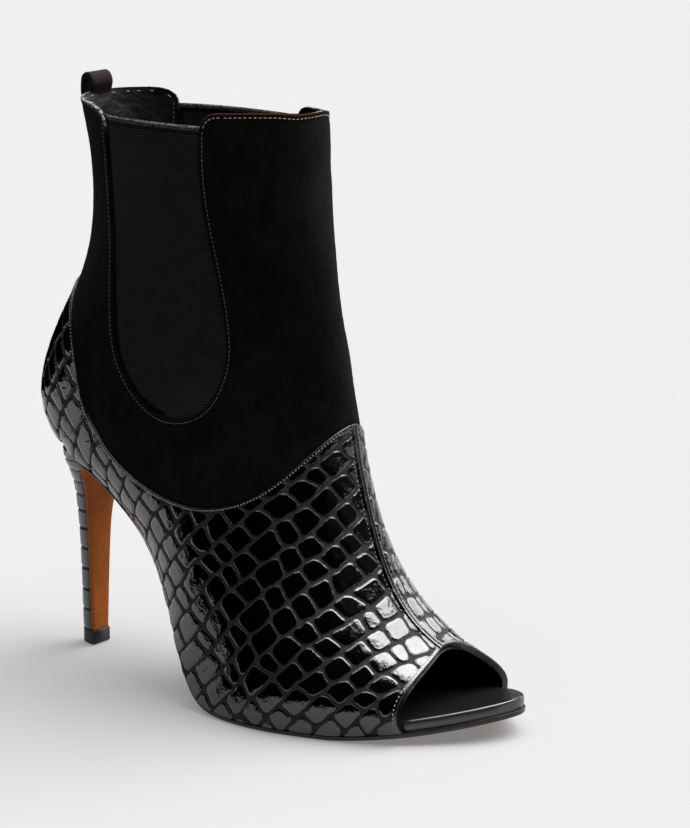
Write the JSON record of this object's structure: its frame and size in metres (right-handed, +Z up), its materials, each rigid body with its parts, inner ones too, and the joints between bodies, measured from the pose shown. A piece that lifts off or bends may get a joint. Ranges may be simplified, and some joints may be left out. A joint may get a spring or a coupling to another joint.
{
  "type": "peep toe shoe",
  "caption": "Right ankle boot with an embossed peep toe upper, suede shaft, elastic side gores, pull loop, leather sole and a tall stiletto heel.",
  "frame": {"origin": "on the floor, under the middle of the boot's box", "axes": "+X towards the toe, +Y towards the inner (medial) side of the right foot, +Z up"},
  "size_m": [0.2216, 0.0852, 0.2405],
  "materials": {
    "patent": "glossy embossed tiles with matt creases",
    "suede": "soft matt nap",
    "elastic": "matt, ribbed across",
    "strap": "matt",
    "lining": "satin",
    "sole_leather": "smooth, semi-matt",
    "rubber": "matt"
  },
  "bodies": {
    "root": {"upper": "patent", "shaft": "suede", "gore_lateral": "elastic", "gore_medial": "elastic", "pull_loop": "strap", "insole": "lining", "outsole": "sole_leather", "heel": "patent", "heel_breast": "sole_leather", "top_lift": "rubber"}
  },
  "joints": []
}
